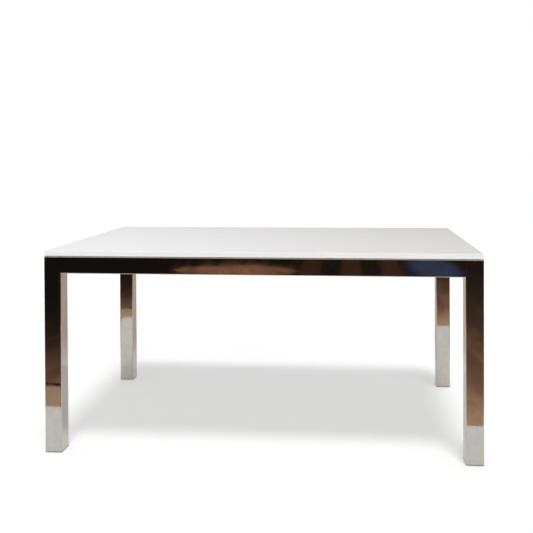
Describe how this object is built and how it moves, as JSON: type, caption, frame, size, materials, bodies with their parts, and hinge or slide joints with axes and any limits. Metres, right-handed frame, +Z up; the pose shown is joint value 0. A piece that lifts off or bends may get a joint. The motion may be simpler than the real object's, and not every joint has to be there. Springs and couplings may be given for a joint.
{
  "type": "parsons dining table",
  "caption": "Rectangular parsons dining table: white gloss slab flush on a mirror-polished square-tube steel frame, standing on screw feet that level it.",
  "frame": {"origin": "on the floor, under the middle of the table", "axes": "+X along the table, +Y from the front to the back, +Z up"},
  "size_m": [1.6, 0.9, 0.75],
  "materials": {
    "white_lacquer": "high-gloss white lacquer on a fibreboard slab",
    "polished_steel": "mirror-polished stainless steel",
    "frame_steel": "mill-finish stainless steel, hidden under the slab",
    "zinc_steel": "bright zinc plate on steel",
    "insert_brass": "turned brass",
    "pale_silicone": "translucent pale silicone rubber",
    "black_nylon": "moulded black nylon"
  },
  "bodies": {
    "table": {"table_top": "white_lacquer", "front_rail": "polished_steel", "rear_rail": "polished_steel", "left_rail": "polished_steel", "right_rail": "polished_steel", "corner_welds": "polished_steel", "left_bearer": "frame_steel", "right_bearer": "frame_steel", "rail_tabs": "frame_steel", "tab_screws": "zinc_steel", "bearer_screws": "zinc_steel", "screw_washers": "zinc_steel", "top_spacers": "pale_silicone", "top_bumpers": "pale_silicone", "threaded_inserts": "insert_brass", "front_left_leg": "polished_steel", "front_left_leg_cap": "polished_steel", "front_left_foot_plug": "black_nylon", "front_left_foot_bush": "zinc_steel", "front_right_leg": "polished_steel", "front_right_leg_cap": "polished_steel", "front_right_foot_plug": "black_nylon", "front_right_foot_bush": "zinc_steel", "rear_right_leg": "polished_steel", "rear_right_leg_cap": "polished_steel", "rear_right_foot_plug": "black_nylon", "rear_right_foot_bush": "zinc_steel", "rear_left_leg": "polished_steel", "rear_left_leg_cap": "polished_steel", "rear_left_foot_plug": "black_nylon", "rear_left_foot_bush": "zinc_steel"},
    "front_left_pad": {"front_left_foot_pad": "black_nylon"},
    "front_left_stud": {"front_left_foot_stud": "zinc_steel"},
    "front_right_pad": {"front_right_foot_pad": "black_nylon"},
    "front_right_stud": {"front_right_foot_stud": "zinc_steel"},
    "rear_right_pad": {"rear_right_foot_pad": "black_nylon"},
    "rear_right_stud": {"rear_right_foot_stud": "zinc_steel"},
    "rear_left_pad": {"rear_left_foot_pad": "black_nylon"},
    "rear_left_stud": {"rear_left_foot_stud": "zinc_steel"}
  },
  "joints": [
    {"name": "front_left_foot_travel", "type": "slide", "parent": "table", "child": "front_left_pad", "axis": [0, 0, -1], "range_m": [0, 0.012]},
    {"name": "front_left_foot_turn", "type": "hinge", "parent": "front_left_pad", "child": "front_left_stud", "pos_m": [-0.76825, -0.41825, 0], "axis": [0, 0, -1], "range_deg": [0, 2880]},
    {"name": "front_right_foot_travel", "type": "slide", "parent": "table", "child": "front_right_pad", "axis": [0, 0, -1], "range_m": [0, 0.012]},
    {"name": "front_right_foot_turn", "type": "hinge", "parent": "front_right_pad", "child": "front_right_stud", "pos_m": [0.76825, -0.41825, 0], "axis": [0, 0, -1], "range_deg": [0, 2880]},
    {"name": "rear_right_foot_travel", "type": "slide", "parent": "table", "child": "rear_right_pad", "axis": [0, 0, -1], "range_m": [0, 0.012]},
    {"name": "rear_right_foot_turn", "type": "hinge", "parent": "rear_right_pad", "child": "rear_right_stud", "pos_m": [0.76825, 0.41825, 0], "axis": [0, 0, -1], "range_deg": [0, 2880]},
    {"name": "rear_left_foot_travel", "type": "slide", "parent": "table", "child": "rear_left_pad", "axis": [0, 0, -1], "range_m": [0, 0.012]},
    {"name": "rear_left_foot_turn", "type": "hinge", "parent": "rear_left_pad", "child": "rear_left_stud", "pos_m": [-0.76825, 0.41825, 0], "axis": [0, 0, -1], "range_deg": [0, 2880]}
  ],
  "couplings": [
    {"joint": "front_left_foot_turn", "follows": "front_left_foot_travel", "rad_per_m": 4188.8},
    {"joint": "front_right_foot_turn", "follows": "front_right_foot_travel", "rad_per_m": 4188.8},
    {"joint": "rear_right_foot_turn", "follows": "rear_right_foot_travel", "rad_per_m": 4188.8},
    {"joint": "rear_left_foot_turn", "follows": "rear_left_foot_travel", "rad_per_m": 4188.8}
  ]
}
